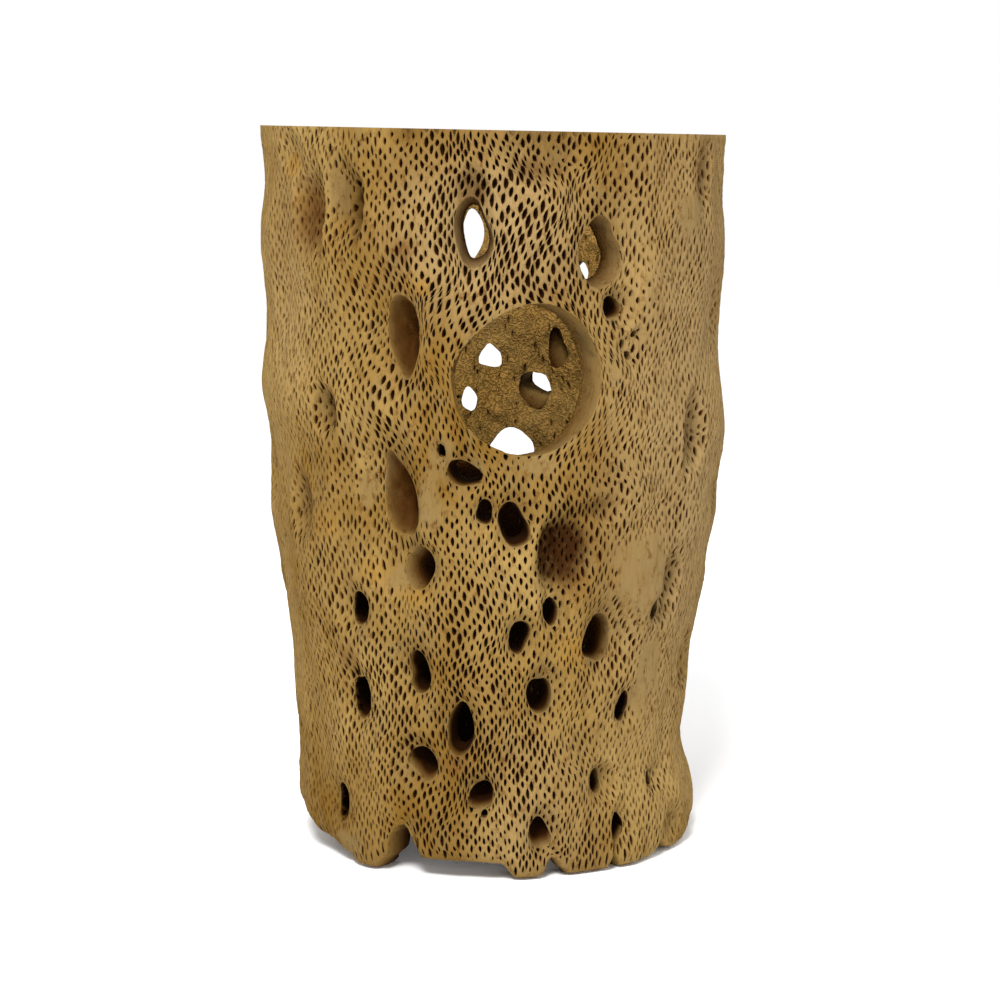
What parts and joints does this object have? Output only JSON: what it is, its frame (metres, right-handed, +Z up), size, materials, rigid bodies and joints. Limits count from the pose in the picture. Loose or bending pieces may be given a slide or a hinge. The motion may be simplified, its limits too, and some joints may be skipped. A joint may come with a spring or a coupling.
{
  "type": "cactus skeleton tube",
  "caption": "Dried cholla cactus skeleton: an upright hollow tube of wood with a wall of netted fibres, slit pores and tunnels, a sawn top and a worn ragged foot.",
  "frame": {"origin": "middle of the bounding box on the plane the foot stands on", "axes": "+Z up along the tube, -Y the front as pictured, +X the right of the front"},
  "size_m": [0.1529, 0.1526, 0.2376],
  "materials": {
    "cactus_wood": "dry unfinished wood, pale tan, matte, with darker brown in the pores and tunnels"
  },
  "bodies": {
    "root": {"skeleton": "cactus_wood"}
  },
  "joints": []
}
